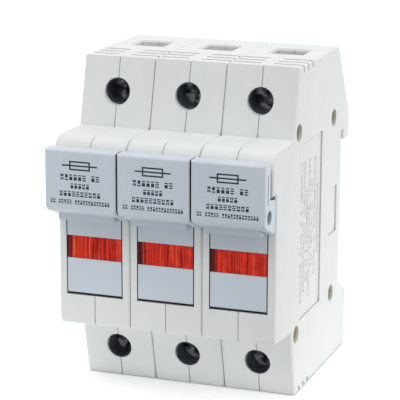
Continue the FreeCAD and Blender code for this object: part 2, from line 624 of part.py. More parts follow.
def make_shell(side, word):
    """One half of a pole's casing. side is +1 for the half at greater X."""
    piece = Piece(word)
    skin = S.pole_pitch / 2 - S.parting
    inner = S.pole_pitch / 2 - S.side_wall

    def across(a, b):
        return (dim(a) * side, dim(b) * side)

    piece.pad(piece.sketch("YZ_Plane", [body_outline()], S.parting * side),
              skin - S.parting, backwards=side < 0)

    def corner(y, z):
        return lambda c, e: along(e, "x") and near(c.y, y) and near(c.z, z)

    piece.dress("Fillet", S.brow_radius, corner(-S.brow_front, S.nose_top))
    piece.dress("Fillet", S.outer_round, lambda c, e: corner(-S.nose_front, -S.nose_bottom)(c, e)
                or corner(S.foot_rear, -S.half_height)(c, e))
    piece.dress("Fillet", S.hook_round, lambda c, e: corner(-S.top_rear, S.half_height)(c, e)
                or corner(S.hook_rear, S.hook_bottom)(c, e)
                or corner(S.rail_slot, S.hook_bottom)(c, e))
    piece.dress("Chamfer", S.edge_break, lambda c, e: near(c.x, skin * side, 0.005))
    piece.dress("Chamfer", S.seam_break,
                lambda c, e: near(c.x, S.parting * side, 0.005) and c.y < -S.rear_wall.value)

    piece.pocket(piece.sketch("YZ_Plane", [cavity_outline()], S.parting * side),
                 inner - S.parting, backwards=side > 0)

    # the opening for the carrier, and the sockets of its trunnions
    piece.box("Subtractive", across(0, S.window_half),
              (-S.brow_front - OVER, -S.nose_front + S.wall + S.window_lip), (-S.window_bottom, S.window_top))
    piece.rod("Subtractive", "x", across(S.window_half - S.socket_start, S.pole_pitch / 2 - S.socket_wall),
              (-S.pivot_depth, S.pivot_height), S.pivot_radius + S.running)

    # one comb of ribs: the wall behind the fuse link with two stiffeners, and the seats of the contact strips
    outward = side < 0
    wall_front = -S.jaw_back + S.divider_gap
    wall_rear = wall_front + S.divider
    upper_half = [(wall_front, S.divider_half), (wall_rear, S.divider_half), (wall_rear, S.stay_outer),
                  (-S.stay_rear, S.stay_outer), (-S.stay_rear, S.stay_inner), (wall_rear, S.stay_inner)]
    comb = upper_half + [(y, -z) for y, z in reversed(upper_half)]
    ledge_outer = S.strip_run - S.ledge_gap
    seats = [rectangle((-S.ledge_front, -S.ledge_rear), (end * S.ledge_inner, end * ledge_outer))
             for end in (UPPER, LOWER)]
    rib_depth = inner - S.parting + S.web
    piece.pad(piece.sketch("YZ_Plane", [comb] + seats, S.parting * side), rib_depth, backwards=outward)

    # rivet bosses, their holes and the recesses for the rivet heads
    rivets = [(-depth, end * height) for depth, height in RIVETS for end in (UPPER, LOWER)]
    bosses = [(y, z, S.boss_radius) for y, z in rivets]
    holes = [(y, z, S.rivet_radius + S.running) for y, z in rivets]
    sinks = [(y, z, S.sink_radius) for y, z in rivets]
    piece.pad(piece.sketch("YZ_Plane", circles=bosses, offset=S.parting * side), rib_depth, backwards=outward)
    piece.pocket(piece.sketch("YZ_Plane", circles=holes), skin + OVER, backwards=side > 0)
    sink = piece.sketch("YZ_Plane", circles=sinks, offset=(skin - S.rivet_sink - S.sink_floor) * side)
    piece.pocket(sink, THROUGH, backwards=side > 0)

    # sleeves that keep the screws in, screwdriver holes, wire entries and grip grooves of both terminals
    sleeves = []
    for end in (UPPER, LOWER):
        top, foot = S.screw_height + S.sleeve_half, S.screw_height - S.sleeve_half
        sleeves.append([(-S.screw_top - S.head_play, end * top),
                        (S.sleeve_skin - face_depth(top), end * top),
                        (S.sleeve_skin - face_depth(foot), end * foot),
                        (-S.screw_top - S.head_play, end * foot)])
    piece.pad(piece.sketch("YZ_Plane", sleeves, S.parting * side), rib_depth, backwards=outward)
    access = [(0, end * S.screw_height, S.access_radius) for end in (UPPER, LOWER)]
    piece.pocket(piece.sketch("XZ_Plane", circles=access, offset=S.screw_top), THROUGH, backwards=True)
    outside = S.half_height + OVER
    within = S.half_height - S.end_wall - OVER
    entries = [rectangle((-S.entry_front, -S.entry_rear), (end * within, end * outside))
               for end in (UPPER, LOWER)]
    piece.pocket(piece.sketch("YZ_Plane", entries), S.entry_half, backwards=side > 0)
    for end in (UPPER, LOWER):
        piece.funnel(side, end)
    grooves = []
    for index in range(3):
        front = -S.groove_first + S.groove_pitch * index
        for end in (UPPER, LOWER):
            grooves.append(rectangle((front, front + S.groove_width),
                                     (end * (S.half_height - S.groove_depth), end * outside)))
    piece.pocket(piece.sketch("YZ_Plane", grooves, S.groove_start * side), THROUGH, backwards=side > 0)

    # shallow recesses in the side: the label field and the field beside the rail
    fields = [rectangle((-S.label_front, -S.label_rear), (-S.label_bottom, S.label_top)),
              rectangle((-S.badge_front, -S.badge_rear), (-S.badge_bottom, S.badge_top))]
    piece.pocket(piece.sketch("YZ_Plane", fields, (skin - S.field_depth) * side), THROUGH, backwards=side > 0)

    # channel of the rail clip, the pocket for its wings, the slot of its tail and the peg of its spring
    fit = S.slack
    channel_top = -S.recess_end + S.channel_step
    foot = -S.half_height - OVER
    piece.box("Subtractive", across(-OVER, S.clip_half + fit), (S.clip_front - fit, S.clip_rear + fit),
              (foot, channel_top))
    piece.box("Subtractive", across(-OVER, S.clip_half + S.clip_wing + fit),
              (S.clip_front + S.wing_front - fit, S.clip_rear - S.wing_rear + fit),
              (-S.wing_bottom - S.clip_travel - fit, fit - S.wing_top))
    piece.box("Additive", across(S.parting, S.peg_half),
              (S.clip_front - S.peg_reach, S.clip_rear + S.peg_reach), (-S.peg_low, -S.peg_top))
    made = piece.body.Tip
    made.Refine = True
    return piece.body


# ---------------------------------------------------------------- carrier and what rides on it

def make_carrier():
    """The swing-out carrier: front panel, pull tab, cradle for the fuse link and two trunnions."""
    piece = Piece("carrier")
    front = -S.nose_front
    half = S.carrier_half
    tab = [
        (-S.tab_front, S.tab_top),
        (-S.tab_front, S.tab_foot),
        (-S.boss_front, S.boss_low),
        (-S.boss_front, S.boss_high),
        (-S.tab_back, S.boss_top),
        (-S.tab_back, S.tab_top),
    ]
    piece.pad(piece.sketch("YZ_Plane", [tab]), S.tab_half * 2, midplane=True)
    piece.dress("Fillet", S.tab_chin, lambda c, e: along(e, "x")
                and near(c.y, -S.tab_front) and near(c.z, S.tab_foot))
    piece.dress("Fillet", S.tab_round, lambda c, e: (near(c.y, -S.tab_front) and near(c.z, S.tab_top))
                or (near(abs(c.x), S.tab_half) and near(c.y, -S.tab_front, 0.9)))

    # side grooves of the tab
    for side in (-1, 1):
        piece.box("Subtractive", (side * (S.tab_half - S.finger_sink), side * THROUGH),
                  (-S.finger_front, -S.finger_rear), (S.finger_low, S.finger_high))

    # neck behind the tab, cradle, front panel and the lip over the fuse link
    piece.box("Additive", (-half, half), (-S.tab_back - S.neck_join, -S.neck_back), (S.neck_low, S.neck_high))
    piece.box("Additive", (-half, half), (front, -S.fuse_depth + S.cradle_reach),
              (-S.cradle_low, S.cradle_high))
    piece.box("Additive", (-half, half), (front, -S.panel_back), (-S.carrier_bottom, -S.panel_join))
    piece.box("Additive", (-S.lip_half, S.lip_half), (-S.lip_front, -S.lip_back), (S.lip_low, S.lip_high))
    piece.rod("Subtractive", "z", (-S.cradle_open, S.lip_low), (0, -S.fuse_depth), S.cradle_radius)
    piece.dress("Fillet", S.panel_round, lambda c, e: along(e, "x") and near(c.y, front)
                and near(c.z, -S.carrier_bottom))

    # trunnions and the hole for the tie pin
    for side in (-1, 1):
        trunnion = (side * (half - S.trunnion_root), side * (S.pole_pitch / 2 - S.trunnion_play))
        piece.rod("Additive", "x", trunnion, (-S.pivot_depth, S.pivot_height), S.pivot_radius)
    piece.rod("Subtractive", "x", (-THROUGH, THROUGH), (-S.tie_depth, S.tie_height), S.tie_radius + S.running)

    # seat of the lens, the lamp chamber behind it and the slot of the lamp's leads
    piece.box("Subtractive", (-THROUGH, THROUGH), (front - OVER, front + S.lens_plate + S.lens_bed),
              (S.lens_bottom, S.lens_top))
    for side in (-1, 1):
        piece.box("Subtractive", (side * (half - S.lens_leg - S.running), side * THROUGH),
                  (front, -S.lens_back + S.slack), (S.lens_bottom, S.lens_top))
    piece.box("Subtractive", (-S.chamber_half, S.chamber_half), (front, -S.chamber_back),
              (S.lens_bottom + S.chamber_edge, S.lens_top - S.chamber_edge))
    piece.box("Subtractive", (-S.lead_slot_half, S.lead_slot_half), (-S.lead_slot_front, -S.lead_slot_back),
              (-S.lead_slot_low, S.lead_slot_high))
    return piece.body


def make_lens():
    """Red window: a plate with legs at both ends and upright flutes on its inner face."""
    piece = Piece("lens")
    half = S.carrier_half
    front = -S.nose_front
    leg = S.lens_leg
    inner = half - leg
    pitch = inner * 2 / LENS_FLUTES
    root = front + S.lens_plate
    back = -S.lens_back
    outline = [(-half, front), (half, front), (half, back), (inner, back), (inner, root)]
    for index in range(LENS_FLUTES):
        outline.append((inner - pitch * (index + 0.5), root + S.flute))
        if index < LENS_FLUTES - 1:
            outline.append((inner - pitch * (index + 1), root))
    outline += [(-inner, root), (-inner, back), (-half, back)]
    height = S.lens_top - S.lens_bottom - 2 * S.lens_fit
    piece.pad(piece.sketch("XY_Plane", [outline], S.lens_bottom + S.lens_fit), height)
    return piece.body


def make_lamp(pole):
    """Indicator board, the two chips on it and the leads that reach the fuse link's caps."""
    plate = loose_box("board%d_plate" % pole, (-S.board_half, S.board_half),
                      (-S.board_front, -S.board_back), (-S.board_low, -S.board_high))
    board = to_pole(group("board%d" % pole, [plate]), "pole%d_indicator_board" % pole, pole)
    chip = [loose_box("chip%d_%d" % (pole, index), (x - S.chip_half, x + S.chip_half),
                      (-S.chip_front, -S.board_front), (-S.chip_low, -S.chip_high))
            for index, x in enumerate((-S.chip_place, S.chip_place))]
    chips = to_pole(group("chips%d" % pole, chip), "pole%d_indicator_chips" % pole, pole)
    leads = []
    for end, start, tip in ((UPPER, -S.lead_upper_start, S.lead_top),
                            (LOWER, -S.lead_lower_start, -S.lead_bottom)):
        width = (-S.lead_half, S.lead_half)
        blade = loose_box("blade%d_%d" % (pole, end), width, (-S.lead_front, S.lead_gauge - S.lead_front),
                          (start, tip))
        toe = loose_box("toe%d_%d" % (pole, end), width, (-S.toe_front, -S.toe_back),
                        (tip - end * S.toe_size, tip))
        leads.append(union("lead%d_%d" % (pole, end), [blade, toe]))
    wires = to_pole(group("leads%d" % pole, leads), "pole%d_indicator_leads" % pole, pole)
    return [board, chips, wires]


def make_fuse(pole):
    """The cartridge fuse link: a ceramic tube with a turned recess at each end, and two metal caps."""
    at = (0, -S.fuse_depth)
    low, high = S.fuse_bottom, S.fuse_bottom + S.fuse_length
    shell = S.cap_wall
    tube = loose_rod("tube%d_body" % pole, "z", (low + shell, high - shell), at, S.tube_radius)
    hollow = loose_rod("tube%d_hollow" % pole, "z", (low + S.tube_end, high - S.tube_end), at,
                       S.tube_radius - S.tube_wall)
    tube = minus("tube%d" % pole, tube, hollow)
    caps = []
    for end, tip in ((UPPER, high), (LOWER, low)):
        cup = loose_rod("cap%d_%d_cup" % (pole, end), "z", (tip, tip - end * S.cap_length), at, S.fuse_radius)
        bore = loose_rod("cap%d_%d_bore" % (pole, end), "z",
                         (tip - end * shell, tip - end * (S.cap_length + OVER)), at, S.tube_radius)
        caps.append(minus("cap%d_%d" % (pole, end), cup, bore))
    return [
        to_pole(tube, "pole%d_fuse_tube" % pole, pole),
        to_pole(group("caps%d" % pole, caps), "pole%d_fuse_caps" % pole, pole),
    ]


# ---------------------------------------------------------------- contacts and terminals

def make_jaw(pole, end, word):
    """A contact jaw for one cap, in one piece with the strip that runs back to the terminal."""
    tag = "jaw%d_%s" % (pole, word)
    inner, outer = S.finger_inner, S.finger_inner + S.finger
    if end == UPPER:
        near_z, far_z = S.upper_jaw_low, S.upper_jaw_high
    else:
        near_z, far_z = -S.lower_jaw_low, -S.lower_jaw_high
    back = -S.jaw_back
    run = S.strip_run
    parts = [
        loose_box(tag + "_base", (-outer, outer), (back, back + S.strip), (near_z, far_z)),
        loose_box(tag + "_riser", (-S.strip_half, S.strip_half), (back, back + S.strip),
                  (end * S.riser_start, end * (run + S.strip))),
        loose_box(tag + "_run", (-S.strip_half, S.strip_half), (back, -S.plate_depth + S.strip),
                  (end * run, end * (run + S.strip))),
        loose_box(tag + "_plate", (-S.strip_half, S.strip_half), (-S.plate_depth, -S.plate_depth + S.strip),
                  (end * run, end * (S.cage_outer - S.plate_end))),
    ]
    for side in (-1, 1):
        parts.append(loose_box(tag + "_finger_%d" % side, (side * inner, side * outer),
                               (-S.jaw_mouth + S.jaw_flare, back + S.strip), (near_z, far_z)))
        flare = doc.addObject("Part::Wedge", tag + "_flare_%d" % side)
        straight = span(side * inner, side * outer)
        spread = span(side * (inner + S.jaw_spread), side * (outer + S.jaw_spread))
        bind(flare, Ymin=-S.jaw_mouth, Ymax=-S.jaw_mouth + S.jaw_flare, Xmin=spread[0], Xmax=spread[1],
             X2min=straight[0], X2max=straight[1], Zmin=near_z, Zmax=far_z, Z2min=near_z, Z2max=far_z)
        parts.append(flare)
    return to_pole(union(tag, parts), "pole%d_%s_jaw" % (pole, word), pole)


def make_jaw_springs(pole):
    """Steel U springs that press the jaw fingers onto the caps."""
    made = []
    inner = S.finger_inner + S.finger + S.spring_gap
    outer = inner + S.spring_gauge
    back = -S.jaw_back + S.strip + S.spring_gap
    for end, low, high in ((UPPER, S.upper_spring_low, S.upper_spring_high),
                           (LOWER, -S.lower_spring_low, -S.lower_spring_high)):
        tag = "clip%d_%d" % (pole, end)
        parts = [loose_box(tag + "_base", (-outer, outer), (back, back + S.spring_gauge), (low, high))]
        for side in (-1, 1):
            parts.append(loose_box(tag + "_arm_%d" % side, (side * inner, side * outer),
                                   (-S.jaw_mouth + S.spring_mouth, back + S.spring_gauge), (low, high)))
        made.append(union(tag, parts))
    return to_pole(group("jaw_springs%d" % pole, made), "pole%d_jaw_springs" % pole, pole)


def make_clamp(pole, end, word):
    """Rising clamp cage, open along Z for the wire, with the screw's threaded collar in front."""
    tag = "cage%d_%s" % (pole, word)
    half, wall = S.cage_half, S.cage_wall
    zs = (end * S.cage_inner, end * S.cage_outer)
    outer = loose_box(tag + "_outer", (-half, half), (-S.cage_front, -S.cage_rear), zs)
    hollow = loose_box(tag + "_hollow", (wall - half, half - wall),
                       (-S.cage_front + S.cage_collar, -S.cage_rear - wall),
                       (end * (S.cage_inner - OVER), end * (S.cage_outer + OVER)))
    thread = loose_rod(tag + "_thread", "y", (-S.cage_front - OVER, -S.cage_front + S.cage_collar + OVER),
                       (0, end * S.screw_height), S.screw_radius + S.running)
    made = minus(tag, minus(tag + "_frame", outer, hollow), thread)
    return to_pole(made, "pole%d_%s_clamp" % (pole, word), pole)


def make_screw(pole, end, word):
    """Terminal screw with a combined slot and cross recess in its head."""
    tag = "screw%d_%s" % (pole, word)
    z = end * S.screw_height
    top = -S.screw_top
    under = top + S.screw_head_depth
    head = loose_rod(tag + "_head", "y", (top, under), (0, z), S.screw_head)
    shank = loose_rod(tag + "_shank", "y", (top + S.bar_depth, -S.plate_depth - S.screw_gap), (0, z),
                      S.screw_radius)
    half = S.drive_width / 2
    slot = loose_box(tag + "_slot", (-THROUGH, THROUGH), (top - OVER, top + S.slot_depth),
                     (z - half, z + half))
    bar = loose_box(tag + "_bar", (-half, half), (top - OVER, top + S.bar_depth),
                    (z - S.bar_half, z + S.bar_half))
    made = minus(tag, union(tag + "_blank", [head, shank]), union(tag + "_recess", [slot, bar]))
    return to_pole(made, "pole%d_%s_screw" % (pole, word), pole)


def make_bushes(pole):
    """Dark bushes that line both screwdriver holes, between the face and the screw's head."""
    made = []
    outer = S.access_radius - S.parting
    back = -S.screw_top - S.head_play
    for end, word in ENDS:
        tag = "bush%d_%s" % (pole, word)
        at = (0, end * S.screw_height)
        sleeve = loose_rod(tag + "_sleeve", "y", (-S.bush_front, back), at, outer)
        bore = loose_rod(tag + "_bore", "y", (-S.bush_front - OVER, back + OVER), at, outer - S.bush_wall)
        made.append(minus(tag, sleeve, bore))
    return to_pole(group("bushes%d" % pole, made), "pole%d_screw_bushes" % pole, pole)


# ---------------------------------------------------------------- rail clip

def make_clip():
    """Sliding rail clip: a plate with wings, a window for its spring, a catch and an eye in its tail."""
    piece = Piece("rail_clip")
    half = S.clip_half
    front, rear = S.clip_front, S.clip_rear
    plate = [
        (front, -S.clip_bottom),
        (rear, -S.clip_bottom),
        (rear, -S.clip_top - S.clip_catch),
        (front + S.catch_edge, -S.clip_top),
        (front, -S.clip_top),
    ]
    piece.pad(piece.sketch("YZ_Plane", [plate]), half * 2, midplane=True)
    wing = half + S.clip_wing
    piece.box("Additive", (-wing, wing), (front + S.wing_front, rear - S.wing_rear),
              (-S.wing_bottom, -S.wing_top))
    cut = (front - OVER, rear + OVER)
    piece.box("Subtractive", (-S.spring_window, S.spring_window), cut, (-S.spring_foot, -S.spring_top))
    piece.box("Subtractive", (-S.eye_half, S.eye_half), cut, (-S.eye_low, -S.eye_high))
    return piece.body


def make_clip_spring(pole):
    """Compression spring between the shell's peg and the head of the clip's window."""
    wire, radius = S.coil_wire.value, S.coil_radius.value
    low = (S.coil_gap - S.peg_top).value
    high = (-S.spring_top - S.coil_gap).value
    height = high - low - 2 * wire
    helix = Part.makeHelix(height / COILS, height, radius)
    helix.translate(Vector(0, 0, low + wire))
    ring = Part.Wire(Part.makeCircle(wire, Vector(radius, 0, low + wire), Vector(0, 1, 0)))
    solid = Part.Wire(helix.Edges).makePipeShell([ring], True, True)
    middle = (S.clip_front.value + S.clip_rear.value) / 2
    solid.translate(Vector(0, middle, 0))
    made = doc.addObject("Part::Feature", "clip_spring%d" % pole)
    made.Shape = Part.Compound([solid])
    return to_pole(made, "pole%d_clip_spring" % pole, pole)


# ---------------------------------------------------------------- pieces that join the poles

def make_rivets():
    """Four tubular rivets through all the poles."""
    made = []
    reach = S.pole_pitch * 1.5 - S.rivet_sink
    for row, (depth, height) in enumerate(RIVETS):
        for end in (UPPER, LOWER):
            tag = "rivet%d_%d" % (row, end)
            at = (-depth, end * height)
            parts = [loose_rod(tag + "_shank", "x", (-reach, reach), at, S.rivet_radius)]
            for side in (-1, 1):
                parts.append(loose_rod(tag + "_head_%d" % side, "x",
                                       (side * (reach - S.rivet_edge), side * reach), at, S.rivet_head))
            bore = loose_rod(tag + "_bore", "x", (-reach - OVER, reach + OVER), at, S.rivet_bore)
            made.append(minus(tag, union(tag + "_blank", parts), bore))
    rivets = group("rivets", made)
    rivets.Label = "rivets"
    return rivets


def make_tie_pin():
    """Pin through the three pull tabs, so that the carriers swing together."""
    reach = S.pole_pitch * 1.5 - S.pin_inset
    pin = loose_rod("tie_pin", "x", (-reach, reach), (-S.tie_depth, S.tie_height), S.tie_radius)
    pin.Label = "tie_pin"
    return pin


# ---------------------------------------------------------------- build, check and write

masters = [make_shell(-1, "left_shell"), make_shell(1, "right_shell"),
           make_carrier(), make_lens(), make_clip()]
subparts = list(masters)
for pole in POLES:
    if pole != MIDDLE:
        for master in masters:
            label = master.Label.replace("pole%d" % MIDDLE, "pole%d" % pole)
            subparts.append(copy_body(master, label, pole))
    subparts += make_lamp(pole)
    subparts += make_fuse(pole)
    for end, word in ENDS:
        subparts.append(make_jaw(pole, end, word))
        subparts.append(make_clamp(pole, end, word))
        subparts.append(make_screw(pole, end, word))
    subparts.append(make_bushes(pole))
    subparts.append(make_jaw_springs(pole))
    subparts.append(make_clip_spring(pole))
subparts.append(make_rivets())
subparts.append(make_tie_pin())
doc.recompute()

for obj in doc.Objects:
    if "Invalid" in obj.State or "Error" in obj.State:
        raise RuntimeError("%s (%s) failed: %s" % (obj.Name, obj.TypeId, obj.State))

os.makedirs(OUT, exist_ok=True)
for old in os.listdir(OUT):
    if old.endswith(".step"):
        os.remove(os.path.join(OUT, old))
for obj in subparts:
    shape = obj.Shape
    if shape.isNull() or not shape.isValid() or not shape.Solids:
        raise RuntimeError("%s has no valid solid" % obj.Label)
    shape.exportStep(os.path.join(OUT, obj.Label + ".step"))
    print("%-28s %2d solids %9.2f mm3" % (obj.Label, len(shape.Solids), shape.Volume))
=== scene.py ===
"""Studio scene of a three-pole cartridge fuse holder.

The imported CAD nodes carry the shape. This script gives every surface its material and adds what the CAD
leaves out: fluted lenses, turned fuse caps, a print on the fuse links, coiled clip springs, rolled rivets,
printed marks on the tabs and raised marks on the sides. Then come the floor, the lights and the camera.
"""
import math
import random

import bmesh
import bpy
from mathutils import Matrix, Vector


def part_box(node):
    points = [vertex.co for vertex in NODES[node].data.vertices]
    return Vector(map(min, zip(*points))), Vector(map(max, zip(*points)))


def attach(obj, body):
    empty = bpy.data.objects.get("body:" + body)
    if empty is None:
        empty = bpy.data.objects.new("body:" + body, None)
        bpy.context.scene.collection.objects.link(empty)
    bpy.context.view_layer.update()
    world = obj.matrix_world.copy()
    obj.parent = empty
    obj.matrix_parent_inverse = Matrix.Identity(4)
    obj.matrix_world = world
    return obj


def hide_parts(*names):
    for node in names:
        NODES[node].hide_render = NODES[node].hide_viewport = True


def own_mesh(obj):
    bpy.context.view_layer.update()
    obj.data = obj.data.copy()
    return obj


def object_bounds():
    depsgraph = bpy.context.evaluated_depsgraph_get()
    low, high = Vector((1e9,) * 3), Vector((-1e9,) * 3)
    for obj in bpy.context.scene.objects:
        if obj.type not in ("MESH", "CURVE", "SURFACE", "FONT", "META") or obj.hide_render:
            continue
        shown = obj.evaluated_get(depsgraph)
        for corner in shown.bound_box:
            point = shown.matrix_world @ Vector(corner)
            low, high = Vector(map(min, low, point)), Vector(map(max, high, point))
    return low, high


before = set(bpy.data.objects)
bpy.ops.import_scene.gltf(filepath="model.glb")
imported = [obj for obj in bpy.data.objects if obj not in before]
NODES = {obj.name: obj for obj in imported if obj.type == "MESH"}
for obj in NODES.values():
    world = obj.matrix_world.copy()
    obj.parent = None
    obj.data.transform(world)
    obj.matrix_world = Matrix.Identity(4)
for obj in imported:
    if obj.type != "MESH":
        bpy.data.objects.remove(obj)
cad_low, cad_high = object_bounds()

MM = 0.001
POLES = (1, 2, 3)


# ---------------------------------------------------------------- material building

WHITE = (1, 1, 1)


class Look:
    """A node material in the making. Texture space is the row frame, in metres."""

    def __init__(self, name, roughness=0.5, metallic=0.0, **sockets):
        self.material = bpy.data.materials.new(name)
        self.material.use_nodes = True
        self.tree = self.material.node_tree
        self.shader = self.tree.nodes["Principled BSDF"]
        self.shader.inputs["Roughness"].default_value = roughness
        self.shader.inputs["Metallic"].default_value = metallic
        for socket, value in sockets.items():
            self.shader.inputs[socket.replace("_", " ")].default_value = value
        self.place = self.node("ShaderNodeTexCoord").outputs["Object"]

    def node(self, kind, **settings):
        made = self.tree.nodes.new(kind)
        for key, value in settings.items():
            setattr(made, key, value)
        return made

    def link(self, source, target):
        self.tree.links.new(source, target)

    def noise(self, size, detail=2.0, stretch=(1, 1, 1)):
        """Noise whose features are about size metres across, stretched along an axis by a factor."""
        mapping = self.node("ShaderNodeMapping")
        mapping.inputs["Scale"].default_value = [1.0 / s for s in stretch]
        self.link(self.place, mapping.inputs["Vector"])
        made = self.node("ShaderNodeTexNoise")
        made.inputs["Scale"].default_value = 1.0 / size
        made.inputs["Detail"].default_value = detail
        self.link(mapping.outputs["Vector"], made.inputs["Vector"])
        return made.outputs["Fac"]

    def ramp(self, factor, stops):
        """A colour ramp over factor; stops are (position, colour)."""
        made = self.node("ShaderNodeValToRGB")
        first, last = made.color_ramp.elements
        first.position, first.color = stops[0][0], (*stops[0][1], 1)
        last.position, last.color = stops[-1][0], (*stops[-1][1], 1)
        for position, colour in stops[1:-1]:
            made.color_ramp.elements.new(position).color = (*colour, 1)
        self.link(factor, made.inputs["Fac"])
        return made.outputs["Color"]

    def multiply(self, a, b, amount=1.0):
        made = self.node("ShaderNodeMix", data_type="RGBA", blend_type="MULTIPLY")
        made.inputs["Factor"].default_value = amount
        self.link(a, made.inputs["A"])
        self.link(b, made.inputs["B"])
        return made.outputs["Result"]

    def occlusion_shade(self, distance, dark, closed=0.2, open_from=0.6):
        """White on open surfaces, the dark colour in seams and corners narrower than distance: painted shade
        from ambient occlusion.
        """
        made = self.node("ShaderNodeAmbientOcclusion", samples=6)
        made.inputs["Distance"].default_value = distance
        return self.ramp(made.outputs["AO"], ((closed, dark), (open_from, WHITE)))

    def spread(self, factor, low, high):
        """factor, from 0 to 1, mapped between low and high."""
        made = self.node("ShaderNodeMapRange")
        made.inputs["To Min"].default_value = low
        made.inputs["To Max"].default_value = high
        self.link(factor, made.inputs["Value"])
        return made.outputs["Result"]

    def colour(self, source):
        self.link(source, self.shader.inputs["Base Color"])

    def roughness(self, factor, low, high):
        self.link(self.spread(factor, low, high), self.shader.inputs["Roughness"])

    def relief(self, layers, edge=0.0):
        """Bumps (height source, depth in metres, strength), over edges rounded by a radius."""
        normal = None
        if edge:
            made = self.node("ShaderNodeBevel", samples=4)
            made.inputs["Radius"].default_value = edge
            normal = made.outputs["Normal"]
        for source, depth, strength in layers:
            made = self.node("ShaderNodeBump")
            made.inputs["Distance"].default_value = depth
            made.inputs["Strength"].default_value = strength
            self.link(source, made.inputs["Height"])
            if normal:
                self.link(normal, made.inputs["Normal"])
            normal = made.outputs["Normal"]
        self.link(normal, self.shader.inputs["Normal"])


def shade(colour, factor):
    return tuple(c * factor for c in colour)


def moulded(name, colour, rough, grain, edge):
    """Moulded plastic: a spark-eroded grain, faint flow clouds, and painted shade in the seams and hollows.
    """
    cloud_shade, flow_tint = 0.965, (0.975, 0.98, 0.985)
    seam_width, seam_shade = 0.9 * MM, (0.14, 0.15, 0.16)
    hollow_width, hollow_shade, hollow_range = 7 * MM, (0.42, 0.44, 0.45), (0.12, 0.42)
    look = Look(name, Specular_IOR_Level=0.45)
    clouds = look.noise(14 * MM, detail=3.0)
    flow = look.noise(5 * MM, stretch=(1, 1, 4))
    base = look.ramp(clouds, ((0.3, shade(colour, cloud_shade)), (0.7, colour)))
    streaks = look.ramp(flow, ((0.35, flow_tint), (0.65, WHITE)))
    # painted shade: ambient occlusion darkens the seams and the hollows
    seams = look.occlusion_shade(seam_width, seam_shade)
    hollows = look.occlusion_shade(hollow_width, hollow_shade, *hollow_range)
    look.colour(look.multiply(look.multiply(base, streaks), look.multiply(seams, hollows)))
    fine = look.noise(grain)
    look.roughness(look.noise(3 * MM), rough - 0.06, rough + 0.06)
    look.relief(((clouds, 0.06 * MM, 0.25), (fine, 0.02 * MM, 0.35)), edge)
    return look.material


def metal(name, colour, rough, brushed=(1, 1, 1), stain=0.75, gap_shade=0.6):
    """Bare or plated metal with brush marks along one axis, handling stains and softened edges.

    stain darkens the stained patches, and the last argument is the width in millimetres of the gaps that get
    painted shade.
    """
    gap_shade_colour, edge = (0.25, 0.24, 0.23), 0.05 * MM
    look = Look(name, metallic=1.0)
    marks = look.noise(0.25 * MM, detail=3.0, stretch=brushed)
    clouds = look.noise(2.2 * MM, detail=4.0)
    base = look.ramp(clouds, ((0.35, shade(colour, stain)), (0.65, colour)))
    # painted shade: ambient occlusion darkens gaps narrower than the given width
    look.colour(look.multiply(base, look.occlusion_shade(gap_shade * MM, gap_shade_colour)))
    look.roughness(marks, rough - 0.09, rough + 0.12)
    look.relief(((marks, 0.01 * MM, 0.4),), edge)
    return look.material


def red_lens(name, dark, colour, bright):
    """Translucent red plastic whose inner flutes show as upright streaks of painted shade and painted
    highlight.
    """
    upright, hair_shade, cloud_tint = (1, 60, 60), (0.42, 0.3, 0.3), (0.78, 0.7, 0.7)
    look = Look(name, roughness=0.2, Specular_IOR_Level=0.28, Coat_Weight=0.06, Coat_Roughness=0.1)
    broad = look.noise(0.5 * MM, stretch=upright)
    narrow = look.noise(0.2 * MM, stretch=upright)
    cloud = look.noise(2.5 * MM)
    # painted shade and highlight: dark and bright upright streaks and dark hairs stand in for light through
    # the flutes
    streaks = look.ramp(broad, ((0.34, dark), (0.45, colour), (0.58, colour), (0.68, bright)))
    hairs = look.ramp(narrow, ((0.38, hair_shade), (0.48, WHITE)))
    depth = look.ramp(cloud, ((0.35, cloud_tint), (0.65, WHITE)))
    look.colour(look.multiply(look.multiply(streaks, hairs, 0.85), depth))
    look.relief(((narrow, 0.05 * MM, 0.4),))
    return look.material


def blackened(name, metallic, stops, size, dents, stretch=(1, 1, 1)):
    """Blackened steel; stops colour it from its coating to what rubbing has laid bare, which on the screws
    is partly a painted highlight.
    """
    crevice_width, crevice_shade, edge = 0.5 * MM, (0.2, 0.21, 0.22), 0.2 * MM
    look = Look(name, metallic=metallic)
    rubbed = look.noise(size, detail=4.0, stretch=stretch)
    fine = look.noise(0.22 * MM, detail=3.0)
    # painted shade: ambient occlusion darkens the crevices
    edges = look.occlusion_shade(crevice_width, crevice_shade)
    look.colour(look.multiply(look.ramp(rubbed, stops), edges))
    look.roughness(fine, 0.24, 0.5)
    look.relief(((rubbed, dents, 0.5), (fine, 0.04 * MM, 0.6)), edge)
    return look.material


def fired_ceramic(name):
    """Unglazed white ceramic with fine pits and faint turning rings."""
    creamy, clean, pit_shade = (0.8, 0.78, 0.72), (0.87, 0.855, 0.81), (0.86, 0.84, 0.8)
    edge = 0.08 * MM
    look = Look(name, Specular_IOR_Level=0.4)
    rings = look.noise(0.35 * MM, stretch=(30, 30, 1))
    pits = look.noise(0.3 * MM, detail=4.0)
    clouds = look.noise(6 * MM)
    look.colour(look.multiply(look.ramp(clouds, ((0.3, creamy), (0.7, clean))),
                              look.ramp(pits, ((0.28, pit_shade), (0.42, WHITE)))))
    look.roughness(pits, 0.45, 0.65)
    look.relief(((rings, 0.03 * MM, 0.3), (pits, 0.03 * MM, 0.35)), edge)
    return look.material


def ink(name, colour):
    """Pad-printed ink, a little thin in places."""
    thinned = 3.2
    look = Look(name, Specular_IOR_Level=0.35)
    thin = look.noise(0.35 * MM, detail=3.0)
    look.colour(look.ramp(thin, ((0.38, colour), (0.74, shade(colour, thinned)))))
    look.roughness(thin, 0.45, 0.62)
    return look.material


